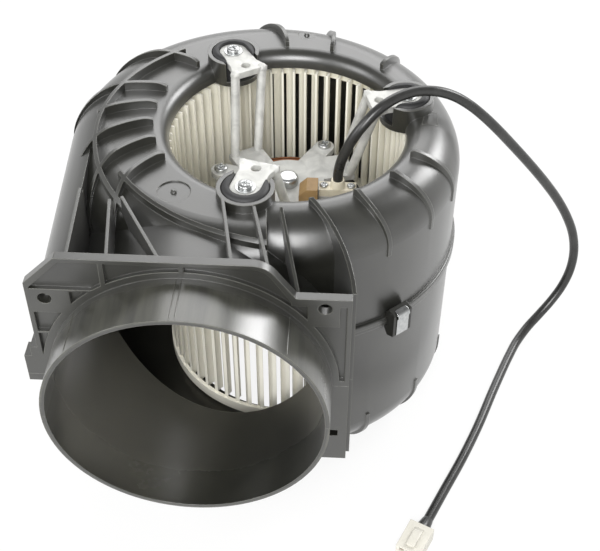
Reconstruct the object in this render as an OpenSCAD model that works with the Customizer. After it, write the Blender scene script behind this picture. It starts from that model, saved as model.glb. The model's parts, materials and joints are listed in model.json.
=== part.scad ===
// Double-inlet centrifugal fan with its motor, as used in a kitchen hood.
// Two moulded half shells carry the motor on a three-armed bracket with rubber mounts.
// Millimetres. The origin is the centre of the outlet spigot's mouth, the spigot axis is Y,
// the shells part on the plane z = 0, and the fan turns about a vertical axis.

/* [Outlet] */
// Outside diameter of the outlet spigot
spigot_d = 150; // [140:1:154]
// Length of the spigot in front of the flange
spigot_len = 29; // [15:1:40]
// Thickness of the outlet flange
flange_t = 5; // [4:0.5:8]
// Distance between the two flange holes
flange_hole_pitch = 141; // [139:0.5:143]
// Diameter of the flange holes
flange_hole_d = 7.2; // [4:0.1:8]
// Height of the flange holes above the parting plane
flange_hole_z = 57.5; // [54:0.5:60]
// Height of the flange's top edge above the parting plane
flange_top = 85; // [82:0.5:92]

/* [Casing] */
// Wall of both moulded shells
wall = 2.5; // [2:0.1:3]
// Sideways distance from the spigot axis to the fan axis
fan_x = 43.5; // [41:0.5:46]
// Distance from the spigot's mouth to the fan axis
fan_y = 161; // [156:1:170]
// Wall radius on the tongue side, about the fan axis
tongue_side_r = 100; // [98:0.5:104]
// Radius of the scroll's outer arc
scroll_r = 113; // [110:0.5:118]
// Height of the upper shell above the parting plane
upper_h = 77; // [75:0.5:80]
// Depth of the lower shell below the parting plane
lower_h = 107; // [100:0.5:112]
// Rounding of the casing's outer edges
edge_r = 23; // [16:0.5:23.5]
// Radius of the two inlet throats
throat_r = 68; // [66:0.5:69]
// Rounding of the inlet lips
lip_r = 8; // [6:0.5:8.5]
// Height of the ribs above the shell
rib_h = 5.5; // [4:0.5:7]
// Thickness of the ribs
rib_t = 2.2; // [1.6:0.1:3]

/* [Fan] */
// Outside radius of the fan
fan_r = 78; // [75:0.5:82]
// Depth of the blades, from their outer to their inner edge
blade_depth = 11; // [8:0.5:13]
// Number of blades
blade_count = 60; // [40:1:64]
// Thickness of a blade
blade_t = 1.3; // [1:0.1:1.8]
// Gap between the fan's ends and the inlet collars
fan_gap = 2; // [1:0.5:4]

/* [Motor] */
// Diameter of the motor shaft
shaft_d = 8; // [6:0.5:9]
// Outside radius of the stator core
stator_r = 47; // [45:0.5:49]
// Height of the stator core
stator_h = 30; // [26:1:33]
// Radius of the stator's bore
stator_bore_r = 24; // [21:0.5:25]
// Air gap between rotor and stator
air_gap = 0.4; // [0.3:0.05:0.8]
// Outside diameter of the two bearings
bearing_d = 18; // [16:0.5:20]
// Height of a bearing
bearing_h = 8; // [6:0.5:9]
// Radial running clearance of the shaft in its bearings
running_gap = 0.03; // [0.02:0.01:0.08]
// Diameter of the motor bolts
bolt_d = 4; // [3:0.5:5]
// Thickness of the bracket's hub plate, legs and tabs
plate_t = 4; // [3:0.5:5]

/* [Mounts and cable] */
// Radius of the circle that the three rubber mounts lie on
mount_r = 71; // [70:0.5:72]
// Outside radius of a rubber mount
rubber_r = 13; // [12:0.5:14]
// Diameter of the screws that hold the bracket
screw_d = 4; // [3:0.5:5]
// Diameter of the motor cable
cable_d = 6; // [5:0.5:6]

/* [Hidden] */

$fn = 72;
eps = 0.01;
big = 400;
fit_gap = 0.2;

plastic = "#34363a";
rubber = "#232426";
cream = "#efeadb";
zinc = "#c9cccd";
steel = "#9aa0a4";
copper = "#a5643a";
former_brown = "#6b4a33";

// Casing, in the fan's own frame, where the fan axis is x = y = 0
spigot_r = spigot_d / 2;
scroll_cx = tongue_side_r - scroll_r;
flange_front = spigot_len - fan_y;
flange_back = flange_front + flange_t;
duct_left = -fan_x - spigot_r;
// Turn of the straight left wall, which is tangent to the scroll and meets the duct at the flange
strip_reach = norm([duct_left - scroll_cx, flange_front]);
strip_turn = 180 + atan2(flange_front, duct_left - scroll_cx) - acos(scroll_r / strip_reach);
strip_w = 17;
strip_top = upper_h;
scroll_turn = 275;
tongue_turn = 102;
lip_centre_r = throat_r + lip_r;
collar_h = 2;
// Direction of the seam on each shell's round inlet
upper_seam = 90;
lower_seam = 200;
bead_out = 2.2;
bead_h = 3;
tongue_r = 8;
// Ramp under the duct: its span about the scroll's centre, and the shift of its circle from the fan axis
ramp_span = [186, scroll_turn + 1];
ramp_shift = 47;

// Clips over the parting seam, by the centre and radius of the wall and the direction
clip_h = 20;
clip_w = 13;
clip_out = 8;
clip_neck = clip_h * 0.3;
clip_slope = clip_out * 0.375;
clip_edge = clip_out / 4;
clip_places = [[0, tongue_side_r, 310], [scroll_cx, scroll_r, 62], [scroll_cx, scroll_r, 140]];

// Flange outline, across the spigot axis
flange_left = spigot_r + 5;
flange_right = spigot_r + 9;
ear_top = flange_top - 21;
ear_x = spigot_r - 19;
corner_r = 14;
corner_x = spigot_r - 41;
chamfer = 17.5;
lower_ear = 62;
rim = 2.5;
recess = 2.5;
collar_w = 4;
pad_h = 19;
pad_w = 15;
pad_x = flange_hole_pitch / 2;
panel_rib_x = spigot_r / 2 + 1;
notch_z = 37;
notch_h = 5;
hook_w = 8;
hook_h = 14;
hook_neck = 21;
hook_depth = 10;

// Ribs: each leaves the inlet lip and sweeps outwards on the same arc
rib_edge = 0.8;
web_t = rib_t * 0.75;
rib_top = upper_h + rib_h;
sweep_r = 57;
sweep_centre_r = 90;
sweep_ahead = 39.5;
sweep_from = -130;
// Start direction of a rib at the lip, and the end of its arc
short_ribs = [[161, -38], [174, -88], [186.5, -42]];
flange_ribs = [199, 211];
straight_ribs = [for (s = flange_ribs) [s, 180 - s - sweep_ahead]];
// Sideways shift of a flange rib on its straight way to the flange
flange_rib_shift = [3, 6];
ring_ribs = [for (a = [138, 93, 72, 45, -24, -40, -59]) [a, -60]];
base_ribs = [for (i = [0:14]) [i * 24 + 9, -60]];
arc_rib = [scroll_cx + 3, -15, scroll_r - 17, 126, 222];
shoulder_rib = [0, 0, tongue_side_r + 4, 214, 274];
cheek_r = 94;
cheek = [flange_right - fan_x - cheek_r + 1.5, flange_front - 6, cheek_r, 2, 47];
// Webs to the flange: start radius and direction at the ring, place across the flange and top there
flange_web_ends = [
    [throat_r + 46, 224.6, -11.5, flange_top - rim], [throat_r + 10, 247.4, 24, flange_top - rim],
    [throat_r + 9.3, 259.6, 42, flange_top - 2 * rim], [throat_r + 16, 271.4, 57, ear_top - rim]
];
// Rounded inner end of a rib, which sinks into the inlet lip
nose_r = 12;
nose_out = 6;
// Gate marks of the moulding, by place and radius
gate_marks = [[-56, -68, 9], [6.7, 91, 5.5]];
gate_depth = 0.7;

// Rubber mounts, by their direction from the fan axis
mount_left = 121;
mount_front = 255.5;
mount_right = 16;
mount_angles = [mount_left, mount_front, mount_right];
socket_wall = 2.4;
socket_floor_t = 3;
socket_z = upper_h - lip_r - collar_h;
rubber_z = socket_z + socket_floor_t;
rubber_h = rib_top + 1.5 - rubber_z;
tab_sink = 6;
tab_z = rubber_z + rubber_h - tab_sink;
tab_w = 17;
washer_t = 0.8;
washer_r = 5.5;
screw_head_h = 2.6;

// Bracket arms
leg_top_x = mount_r - 21;
leg_foot_x = 38;
leg_top_w = 23;
leg_foot_w = 21;
leg_r = 2.7;
elbow_r = 3;
leg_swing = 9;
hub_disc_r = 22;
lobe_r = 6;

// Motor, stacked down from the hub plate
hub_plate_z = 27;
hub_plate_top = hub_plate_z + plate_t;
pillar_h = 13;
pillar_r = 4;
bolt_margin = 0.6;
bolt_circle_r = stator_r - pillar_r - bolt_margin;
bolt_angles = [61, 166, 300];
stator_top = hub_plate_z - pillar_h;
stator_bottom = stator_top - stator_h;
shield_pillar_h = 15;
shield_t = 3;
shield_top = stator_bottom - shield_pillar_h;
shield_bottom = shield_top - shield_t;
boss_r = bearing_d / 2 + 3;
boss_lip = 2;
upper_bearing_top = hub_plate_z - boss_lip;
upper_bearing_z = upper_bearing_top - bearing_h;
lower_bearing_z = shield_bottom - 4;
lower_bearing_top = lower_bearing_z + bearing_h;
former_in = stator_bore_r + 1.8;
former_out = bolt_circle_r - pillar_r - bolt_margin;
former_t = 1.2;
former_h = 10.5;
cage_h = 3;
cage_r = boss_r + 2;
shaft_r = shaft_d / 2;
shoulder_r = shaft_r + 1;
washer_gap = 0.1;
thrust_t = 0.5;
thrust_r = bearing_d / 2 - 2;
cap_r = 6.5;
cap_h = 5.5;
cap_wall = 1.6;
shaft_top = hub_plate_top + 2;
nut_h = bolt_d * 0.8;
vent_turn = 50;
vent_r = 8;

// Fan wheel
fan_top = upper_h - lip_r - collar_h - fan_gap;
fan_bottom = lower_h - lip_r - collar_h - fan_gap;
fan_mid = (fan_top - fan_bottom) / 2;
fan_in = fan_r - blade_depth;
ring_h = 7;
ring_t = 2.4;
blade_inset = 0.6;
blade_curve_r = 9;
bell_t = 2;
bell_r = stator_r + 8;
bell_floor = lower_bearing_z - boss_lip - 4;
hub_r = 14;
bush_r = 8;
bush_top = bell_floor + 2;
bush_bottom = bell_floor - 14;
clip_t = 1;
clip_r = shaft_r + 3.5;
groove_d = 0.6;
shaft_bottom = bush_bottom - 5;

// Cable and plug
clamp_x = 30;
clamp_y = -8;
clamp_size = [22, 8, 5];
clamp_screw_x = 8;
clamp_screw_d = 2.5;
relief_h = 5;
block_size = [11, 12, 9];
block_gap = 0.5;
block_x = clamp_x - clamp_size[0] / 2 - block_gap - block_size[0];
block_y = clamp_y - block_size[1] * 0.83;
floor_z = -lower_h - rib_h;
cable_r = cable_d / 2;
cable_lie = floor_z + cable_r;
cable_start = hub_plate_top + clamp_size[2] + relief_h;
cable_route = [
    [clamp_x, clamp_y, cable_start], [30.1, -8.2, 46.5], [31.6, -9.1, 55.4], [34.9, -9.4, 65.2],
    [39.3, -8.1, 73.7], [44.2, -5.8, 80], [49.6, -2.3, 85.1], [56.1, 2.2, 88.6], [63.8, 7.9, 90],
    [73.5, 13.2, 90], [84.7, 15.7, 88.6], [95, 17.8, 84.3], [105, 19.5, 77.1], [114.3, 21.5, 68],
    [123.6, 23.9, 57.4], [132.9, 27, 45.6], [142.4, 30.7, 33], [152.2, 34.9, 19.4], [162, 39.3, 5],
    [171.6, 43.4, -10.2], [180.3, 46.5, -26.2], [187, 47.8, -41.9], [190.4, 46.9, -57.3],
    [190, 44.2, -71.3], [186.2, 40.4, -83.4], [179.8, 35.4, -93.3], [172, 29.1, -100.8],
    [163.4, 20.6, -106.1], [155.4, 9, cable_lie + 0.4], [149.8, -2.9, cable_lie],
    [145.2, -13.7, cable_lie], [136.1, -36.4, cable_lie], [125, -65.4, cable_lie],
    [113.4, -92.1, cable_lie], [101.3, -117, cable_lie], [92.7, -134.8, cable_lie],
    [87.1, -146.3, cable_lie]
];
cable_sides = 10;
plug_size = [20, 15, 10];
cable_end = cable_route[len(cable_route) - 1] - cable_route[len(cable_route) - 2];
plug_turn = atan2(cable_end[1], cable_end[0]);
contact_pitch = 4;
contact_w = 1.6;
contact_depth = 8;
contact_rows = [-1, 0, 1] * contact_pitch;
contact_levels = [3.4, 7.2];

// Puts a piece from the fan's frame into the part's frame
module placed() {
    translate([fan_x, fan_y, 0]) children();
}

// Copies a piece around the fan axis
module around(angles, r) {
    for (a = angles) rotate(a) translate([r, 0, 0]) children();
}

// A straight tube standing on z = 0
module tube(ro, ri, h) {
    difference() {
        cylinder(r = ro, h = h);
        translate([0, 0, -eps]) cylinder(r = ri, h = h + 2 * eps);
    }
}

// Half section of a round body with a rounded outer edge
module shoulder_profile(r, h, e) {
    square([r - e, h]);
    square([r, h - e]);
    translate([r - e, h - e]) circle(e);
}

// Half section of a ring with a rounded top
module ring_profile(ri, ro, h, e) {
    translate([ri, 0]) square([ro - ri, h - e]);
    translate([ri + e, 0]) square([ro - ri - 2 * e, h]);
    for (x = [ri + e, ro - e]) translate([x, h - e]) circle(e);
}

// The casing's round walls over the parting plane: scroll arc and tongue side
module casing_arcs(grow, h, e) {
    translate([scroll_cx, 0, 0])
        rotate_extrude(angle = scroll_turn) shoulder_profile(scroll_r + grow, h, e);
    rotate(-tongue_turn)
        rotate_extrude(angle = tongue_turn) shoulder_profile(tongue_side_r + grow, h, e);
}

// The straight left wall between the scroll and the flange
module casing_strip(grow, h, e) {
    difference() {
        translate([scroll_cx, 0, 0]) rotate(strip_turn) rotate([90, 0, 0])
            linear_extrude(big / 2) mirror([1, 0]) intersection() {
                shoulder_profile(scroll_r + grow, h, e);
                translate([scroll_r - strip_w - grow, 0]) square([strip_w + 2 * grow, h]);
            }
        translate([-big / 2, flange_back - grow - big, -eps]) cube([big, big, big]);
    }
}

// The whole casing over the parting plane
module casing_form(grow, h, e) {
    casing_arcs(grow, h, e);
    casing_strip(grow, min(h, strip_top + grow), e);
}

// Half of the round duct, above the parting plane
module half_duct(r, from, to) {
    intersection() {
        translate([-fan_x, to, 0]) rotate([90, 0, 0]) cylinder(r = r, h = to - from);
        translate([-big / 2, -big / 2, 0]) cube([big, big, big]);
    }
}

// Plan of an arc rib, from [centre x, centre y, radius, start angle, end angle]
module arc_plan(a) {
    reach = a[2] * 2;
    mid = (a[3] + a[4]) / 2;
    translate([a[0], a[1]]) intersection() {
        difference() {
            circle(a[2] + rib_t / 2);
            circle(a[2] - rib_t / 2);
        }
        polygon([[0, 0], for (t = [a[3], mid, a[4]]) reach * [cos(t), sin(t)]]);
    }
}

// Plan of one swept rib, from [start direction at the lip, end angle of its arc]
module swept_plan(s) {
    rotate(s[0] + sweep_ahead) arc_plan([sweep_centre_r, 0, sweep_r, sweep_from, s[1]]);
}

// Upright web between two plan points, with its own top at each end
module web(p, q, p_top, q_top) {
    d = q - p;
    run = norm(d);
    translate([p[0], p[1], 0]) rotate(atan2(d[1], d[0])) rotate([90, 0, 0])
        translate([0, 0, -web_t / 2]) linear_extrude(web_t)
            polygon([[0, edge_r], [run, edge_r], [run, q_top], [0, p_top]]);
}

// Ribs over a shell's rounded top, fading out at its wall
module ring_rib_set(ribs, h) {
    nose_x = lip_centre_r + nose_out;
    nose_z = h + rib_h - nose_r;
    difference() {
        intersection() {
            translate([0, 0, h - edge_r - rib_h]) linear_extrude(edge_r + 2 * rib_h) {
                for (s = ribs) swept_plan(s);
                children();
            }
            casing_form(rib_edge, h + rib_h, edge_r + rib_h - rib_edge);
        }
        rotate_extrude() difference() {
            translate([0, nose_z]) square([nose_x, nose_r + 1]);
            translate([nose_x, nose_z]) circle(nose_r);
        }
    }
}

// Webs that run from the ribs on top of the casing to the outlet flange
module flange_webs() {
    for (i = [0, 1]) {
        a = flange_ribs[i] + sweep_ahead;
        x = sweep_centre_r * cos(a) - sweep_r;
        web([x, sweep_centre_r * sin(a) + rib_t], [x + flange_rib_shift[i], flange_back],
            rib_top, flange_top - rim);
    }
    for (w = flange_web_ends)
        web(w[0] * [cos(w[1]), sin(w[1])], [w[2] - fan_x, flange_back], rib_top, w[3]);
}

// Curved cheek wall from the inlet ring to the flange's right edge
module cheek_wall(ring_top, flange_end_top) {
    intersection() {
        linear_extrude(ring_top + eps) arc_plan(cheek);
        rotate([90, 0, 90]) linear_extrude(big, center = true)
            polygon([[flange_back, 0], [0, 0], [0, ring_top], [-mount_r, ring_top],
                     [flange_back, flange_end_top]]);
    }
}

// Rolled lip and collar of an inlet, over the parting plane
module inlet_lip(h, seam) {
    rotate(seam) rotate_extrude() {
        translate([lip_centre_r, h - lip_r]) intersection() {
            difference() {
                circle(lip_r);
                circle(lip_r - wall);
            }
            translate([-lip_r, 0]) square(lip_r);
        }
        translate([throat_r, h - lip_r - collar_h]) square([wall, collar_h]);
    }
}

// Rounded cut-off between the duct and the tongue side of the casing
module tongue(h) {
    intersection() {
        translate([spigot_r - fan_x - tongue_r, -tongue_side_r + tongue_r + wall, 0])
            cylinder(r = tongue_r, h = h);
        casing_form(-wall / 2, h - wall / 2, edge_r - wall / 2);
    }
}

// Ramp that leads the scroll's wall to the tongue side where the duct leaves the casing
module duct_ramp(h) {
    sides = [ramp_span[0], (ramp_span[0] + ramp_span[1]) / 2, ramp_span[1]];
    difference() {
        intersection() {
            casing_arcs(-wall / 2, h - wall / 2, edge_r - wall / 2);
            translate([scroll_cx, 0, 0]) linear_extrude(h)
                polygon([[0, 0], for (a = sides) big * [cos(a), sin(a)]]);
        }
        translate([0, ramp_shift, -eps]) cylinder(r = tongue_side_r - wall + ramp_shift, h = big);
        translate([0, 0, -eps]) half_duct(spigot_r - wall, -fan_y - 1, -tongue_side_r / 2);
    }
}

// Half shell without its details: casing, duct, ribs and flange over the parting plane
module half_shell(h, seam) {
    difference() {
        union() {
            casing_form(0, h, edge_r);
            casing_arcs(bead_out, bead_h, 1);
            half_duct(spigot_r, -fan_y, -tongue_side_r / 2);
            children();
        }
        translate([0, 0, -eps]) casing_arcs(-wall, h - wall + eps, edge_r - wall);
        difference() {
            translate([0, 0, -eps]) casing_strip(-wall, min(h, strip_top) - wall + eps, edge_r - wall);
            half_duct(spigot_r, -fan_y, -tongue_side_r / 2);
        }
        translate([0, 0, -eps]) half_duct(spigot_r - wall, -fan_y - 1, -tongue_side_r / 2);
        translate([0, 0, -big / 2 - eps]) cylinder(r = big, h = big / 2 + eps);
        rotate(seam) cylinder(r = lip_centre_r, h = big);
    }
    inlet_lip(h, seam);
    tongue(h);
}

// Outline of the flange above the parting plane in the spigot's frame, drawn in from its edges
module upper_flange_plan(inset) {
    right = flange_right - inset;
    left = flange_left - inset;
    low_top = ear_top - inset;
    high_top = flange_top - inset;
    bow = corner_r - inset;
    bow_z = flange_top - corner_r;
    slope = [ear_x - inset - corner_x, low_top - bow_z];
    turn = atan2(slope[1], slope[0]) + acos(bow / norm(slope));
    difference() {
        union() {
            translate([-left, 0]) square([left + right, low_top]);
            translate([-left, 0]) square([left + corner_x, high_top]);
            translate([corner_x, bow_z]) circle(bow);
            polygon([[0, low_top - 1], [0, bow_z], [corner_x, bow_z],
                     [corner_x + bow * cos(turn), bow_z + bow * sin(turn)], [ear_x - inset, low_top],
                     [ear_x - inset, low_top - 1]]);
        }
        translate([-left, high_top - chamfer])
            polygon([[-1, -1], [chamfer + 1, chamfer + 1], [-1, chamfer + 1]]);
    }
}

// Sunk panels between the flange's rim, its ribs, the pads of its holes and the spigot's collar
module upper_flange_panels() {
    pad_z = ear_top - pad_h;
    difference() {
        upper_flange_plan(rim);
        circle(spigot_r + collar_w);
        translate([0, -1]) square([2 * flange_right, 2 * rim]);
        translate([-flange_left, -1]) square([flange_left, 4 * rim]);
        translate([-flange_left, pad_z + rim]) square([flange_left - spigot_r + pad_w + rim, pad_h - rim]);
        translate([-flange_left, ear_top - rim / 2]) square([flange_left, rim / 2]);
        translate([pad_x - pad_w / 2, pad_z]) square([pad_w, pad_h]);
        translate([pad_x - pad_w / 2 - rim / 2, pad_z + 1]) square([rim / 2, pad_h]);
        translate([ear_x - rim, ear_top - 2 * rim]) square([flange_right - ear_x, 2 * rim]);
        translate([-panel_rib_x - rim, 0]) square([rim, flange_top]);
        translate([-rim / 2, 0]) square([rim, flange_top]);
        translate([-flange_left, ear_top / 2]) square([flange_left / 2, rim / 2]);
    }
}

module at_flange(depth) {
    translate([-fan_x, flange_front + depth, 0]) rotate([90, 0, 0]) linear_extrude(depth) children();
}

// Hook on the flange's left edge, which holds the two shells together
module flange_hook() {
    translate([-flange_left - hook_w, 0]) square([hook_w + rim, hook_h]);
    translate([-flange_left - hook_w / 2, 0]) square([hook_w / 2 + rim, hook_neck]);
}

module flange_holes() {
    for (x = [-1, 1] * flange_hole_pitch / 2)
        translate([x - fan_x, flange_back + 1, flange_hole_z]) rotate([90, 0, 0])
            cylinder(d = flange_hole_d, h = flange_t + 2);
}

module upper_housing() {
    placed() color(plastic) difference() {
        union() {
            half_shell(upper_h, upper_seam) {
                at_flange(flange_t) upper_flange_plan(0);
                at_flange(hook_depth) flange_hook();
                flange_webs();
                cheek_wall(rib_top, ear_top);
                ring_rib_set(concat(short_ribs, ring_ribs, straight_ribs), upper_h) {
                    arc_plan(arc_rib);
                    arc_plan(shoulder_rib);
                }
            }
            around(mount_angles, mount_r) translate([0, 0, socket_z])
                cylinder(r = rubber_r + fit_gap + socket_wall, h = rib_top - socket_z);
        }
        around(mount_angles, mount_r) {
            translate([0, 0, rubber_z]) cylinder(r = rubber_r + fit_gap, h = big);
            translate([-2 * rubber_r, -tab_w / 2 - 2, rubber_z]) cube([2 * rubber_r, tab_w + 4, big]);
            translate([0, 0, socket_z - 1]) cylinder(d = screw_d, h = big);
        }
        flange_holes();
        at_flange(recess) upper_flange_panels();
        for (g = gate_marks) translate([g[0], g[1], upper_h - gate_depth])
            cylinder(r = g[2], h = gate_depth + 1);
    }
}

module lower_housing() {
    placed() color(plastic) mirror([0, 0, 1]) {
        half_shell(lower_h, lower_seam) {
            at_flange(flange_t) {
                difference() {
                    square([flange_right, lower_ear]);
                    translate([spigot_r - 5, notch_z]) square([collar_w + 5, notch_h]);
                }
                circle(spigot_r + collar_w);
                translate([-flange_left - hook_w, 0]) square([hook_w + rim + collar_w, notch_h]);
            }
            cheek_wall(lower_ear, lower_ear);
            ring_rib_set(base_ribs, lower_h);
        }
        duct_ramp(lower_h);
    }
}

// Section of a clip that holds the beads of both shells together, outwards from the wall
module clip_section() {
    hook = bead_h + fit_gap;
    plate = bead_out + fit_gap;
    difference() {
        polygon([[2 * fit_gap, -clip_neck], [clip_slope, -clip_h / 2], [clip_out, -clip_h / 2 + clip_edge],
                 [clip_out, clip_h / 2 - clip_edge], [clip_slope, clip_h / 2], [2 * fit_gap, clip_neck]]);
        translate([0, -hook]) square([plate, 2 * hook]);
    }
}

module housing_clips() {
    placed() color(plastic) {
        for (c = clip_places)
            translate([c[0], 0, 0]) rotate(c[2]) translate([c[1], 0, 0])
                rotate([90, 0, 0]) linear_extrude(clip_w, center = true) clip_section();
    }
}

// One rubber mount: a round bush with a seat for the bracket's tab, open towards the fan axis
module rubber_mount(a) {
    placed() color(rubber) rotate(a) translate([mount_r, 0, rubber_z]) difference() {
        rotate_extrude() shoulder_profile(rubber_r, rubber_h, 3);
        translate([0, 0, rubber_h - tab_sink]) cylinder(d = tab_w + 2 * fit_gap, h = big);
        translate([-big, -tab_w / 2 - fit_gap, rubber_h - tab_sink]) cube([big, tab_w + 2 * fit_gap, big]);
        translate([0, 0, -1]) cylinder(d = screw_d + 2 * fit_gap, h = big);
    }
}

module rubber_mount_left() {
    rubber_mount(mount_left);
}

module rubber_mount_front() {
    rubber_mount(mount_front);
}

module rubber_mount_right() {
    rubber_mount(mount_right);
}

// Pan head screw, head upwards, with the underside of its head on z = 0
module pan_screw(d, len, head_r, head_h) {
    rotate_extrude() shoulder_profile(head_r, head_h, head_h * 0.45);
    translate([0, 0, -len]) cylinder(d = d, h = len + eps);
}

module mount_screws() {
    head_z = tab_z + plate_t + washer_t;
    placed() color(steel) around(mount_angles, mount_r) translate([0, 0, head_z])
        pan_screw(screw_d, head_z - socket_z, screw_d, screw_head_h);
}

module mount_washers() {
    placed() color(steel) around(mount_angles, mount_r) translate([0, 0, tab_z + plate_t])
        tube(washer_r, screw_d / 2 + fit_gap, washer_t);
}

// Plan of an arm's tab, which widens inside the rubber mount, with its screw hole and a round window
module tab_plan() {
    neck_x = mount_r - rubber_r - 1;
    end_x = leg_top_x - plate_t / 2;
    difference() {
        union() {
            translate([mount_r, 0]) circle(d = tab_w);
            translate([neck_x, -tab_w / 2]) square([mount_r - neck_x, tab_w]);
            polygon([[neck_x, -tab_w / 2], [neck_x, tab_w / 2],
                     [end_x, leg_top_w / 2], [end_x, -leg_top_w / 2]]);
        }
        translate([mount_r, 0]) circle(d = screw_d + 2 * fit_gap);
        translate([mount_r - tab_w, 0]) circle(d = tab_w / 3);
    }
}

// Round bar between two points, with a ball at its first end
module bar(p, q) {
    d = q - p;
    translate(p) {
        sphere(elbow_r);
        rotate([0, acos(d[2] / norm(d)), atan2(d[1], d[0])]) cylinder(r = leg_r, h = norm(d));
    }
}

// One arm of the bracket along X: tab on the rubber mount and two round legs, swung sideways to the hub
module bracket_arm() {
    top_y = leg_top_w / 2 - leg_r;
    foot_y = leg_foot_w / 2 - leg_r;
    translate([0, 0, tab_z]) linear_extrude(plate_t) tab_plan();
    for (side = [-1, 1])
        bar([leg_top_x, side * top_y, tab_z + plate_t / 2],
            [leg_foot_x, leg_swing + side * foot_y, hub_plate_z + plate_t / 2]);
}

// Plan of the hub plate: disc, feet of the arms, lobes of the bolts, pads of clamp and terminal block
module hub_plan() {
    circle(hub_disc_r);
    for (a = mount_angles) rotate(a) translate([0, leg_swing - leg_foot_w / 2])
        square([leg_foot_x + elbow_r, leg_foot_w]);
    around(bolt_angles, 0) translate([0, -lobe_r]) square([bolt_circle_r, 2 * lobe_r]);
    around(bolt_angles, bolt_circle_r) circle(lobe_r);
    translate([clamp_x, clamp_y]) square([clamp_size[0], clamp_size[1]], center = true);
    translate([block_x, block_y]) square([block_size[0], block_size[1]]);
}

module motor_bracket() {
    placed() color(zinc) difference() {
        union() {
            for (a = mount_angles) rotate(a) bracket_arm();
            translate([0, 0, hub_plate_z]) linear_extrude(plate_t) hub_plan();
            translate([0, 0, upper_bearing_z - boss_lip])
                cylinder(r = boss_r, h = hub_plate_z - upper_bearing_z + boss_lip + plate_t / 2);
            around(bolt_angles, bolt_circle_r) translate([0, 0, stator_top])
                cylinder(r = pillar_r, h = pillar_h + plate_t / 2);
        }
        translate([0, 0, upper_bearing_z - boss_lip - 1])
            cylinder(d = bearing_d, h = bearing_h + boss_lip + 1);
        translate([0, 0, hub_plate_z - boss_lip - 1]) cylinder(r = shoulder_r + 1, h = big);
        around(bolt_angles, bolt_circle_r) translate([0, 0, stator_top - 1])
            cylinder(d = bolt_d + 2 * fit_gap, h = big);
        clamp_screw_holes();
    }
}

// Pilot holes of the two clamp screws in the bracket
module clamp_screw_holes() {
    for (s = [-1, 1])
        translate([clamp_x + s * clamp_screw_x, clamp_y, hub_plate_z - 1])
            cylinder(d = clamp_screw_d, h = plate_t + 2);
}

module bearing_cap() {
    placed() color(zinc) translate([0, 0, hub_plate_top]) difference() {
        rotate_extrude() shoulder_profile(cap_r, cap_h, cap_h * 0.45);
        translate([0, 0, -eps]) cylinder(r = cap_r - cap_wall, h = cap_h - cap_wall);
    }
}

module upper_bearing() {
    placed() color("#b08d57") translate([0, 0, upper_bearing_z])
        tube(bearing_d / 2, shaft_r + running_gap, bearing_h);
}

module lower_bearing() {
    placed() color("#b08d57") translate([0, 0, lower_bearing_z])
        tube(bearing_d / 2, shaft_r + running_gap, bearing_h);
}

module stator_core() {
    placed() color("#2b2b2d") difference() {
        translate([0, 0, stator_bottom]) tube(stator_r, stator_bore_r, stator_h);
        around(bolt_angles, bolt_circle_r) translate([0, 0, stator_bottom - 1])
            cylinder(d = bolt_d + 2 * fit_gap, h = stator_h + 2);
    }
}

// Tray that insulates a winding head, standing on z = 0
module coil_former() {
    tube(former_out, former_in, former_t);
    tube(former_in + former_t, former_in, former_h);
    tube(former_out, former_out - former_t, former_h * 0.6);
}

module upper_coil_former() {
    placed() color(former_brown) translate([0, 0, stator_top]) coil_former();
}

module lower_coil_former() {
    placed() color(former_brown) translate([0, 0, stator_bottom]) mirror([0, 0, 1]) coil_former();
}

// Winding head lying in its tray
module winding() {
    translate([0, 0, former_t]) rotate_extrude()
        ring_profile(former_in + former_t, former_out - former_t, former_h - former_t - 1, 3);
}

module upper_winding() {
    placed() color(copper) translate([0, 0, stator_top]) winding();
}

module lower_winding() {
    placed() color(copper) translate([0, 0, stator_bottom]) mirror([0, 0, 1]) winding();
}

module lower_end_shield() {
    placed() color(zinc) difference() {
        union() {
            translate([0, 0, shield_bottom]) cylinder(r = stator_r, h = shield_t);
            translate([0, 0, lower_bearing_z - boss_lip]) cylinder(r = boss_r, h = bearing_h + boss_lip);
            around(bolt_angles, bolt_circle_r) translate([0, 0, shield_bottom])
                cylinder(r = pillar_r, h = shield_t + shield_pillar_h);
        }
        translate([0, 0, lower_bearing_z]) cylinder(d = bearing_d, h = big);
        translate([0, 0, lower_bearing_z - boss_lip - 1]) cylinder(r = shoulder_r, h = big);
        around(bolt_angles, bolt_circle_r) translate([0, 0, shield_bottom - 1])
            cylinder(d = bolt_d + 2 * fit_gap, h = big);
        around([for (a = bolt_angles) a + vent_turn], bolt_circle_r - boss_r)
            translate([0, 0, shield_bottom - 1]) cylinder(r = vent_r, h = shield_t + 2);
    }
}

module motor_bolts() {
    placed() color(steel) around(bolt_angles, bolt_circle_r) translate([0, 0, hub_plate_top])
        pan_screw(bolt_d, hub_plate_top - shield_bottom + nut_h + 1, bolt_d, bolt_d * 0.7);
}

module motor_nuts() {
    placed() color(steel) around(bolt_angles, bolt_circle_r) translate([0, 0, shield_bottom - nut_h])
        difference() {
            cylinder(d = bolt_d * 2, h = nut_h, $fn = 6);
            translate([0, 0, -1]) cylinder(d = bolt_d, h = nut_h + 2);
        }
}

// Brown block where the cable's wires meet the winding, with a sloped shoulder
module terminal_block() {
    slope = block_size[2] / 2;
    placed() color(former_brown) translate([block_x, block_y + block_size[1], hub_plate_top])
        rotate([90, 0, 0]) linear_extrude(block_size[1]) polygon([
            [0, 0], [block_size[0], 0], [block_size[0], block_size[2]], [slope, block_size[2]], [0, slope]
        ]);
}

module rotor_core() {
    placed() color(steel) translate([0, 0, stator_bottom])
        tube(stator_bore_r - air_gap, shoulder_r, stator_h);
}

module rotor_cage() {
    placed() color("#b9bcc0") for (z = [stator_top, stator_bottom - cage_h])
        translate([0, 0, z]) tube(stator_bore_r - 1.5, cage_r, cage_h);
}

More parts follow.
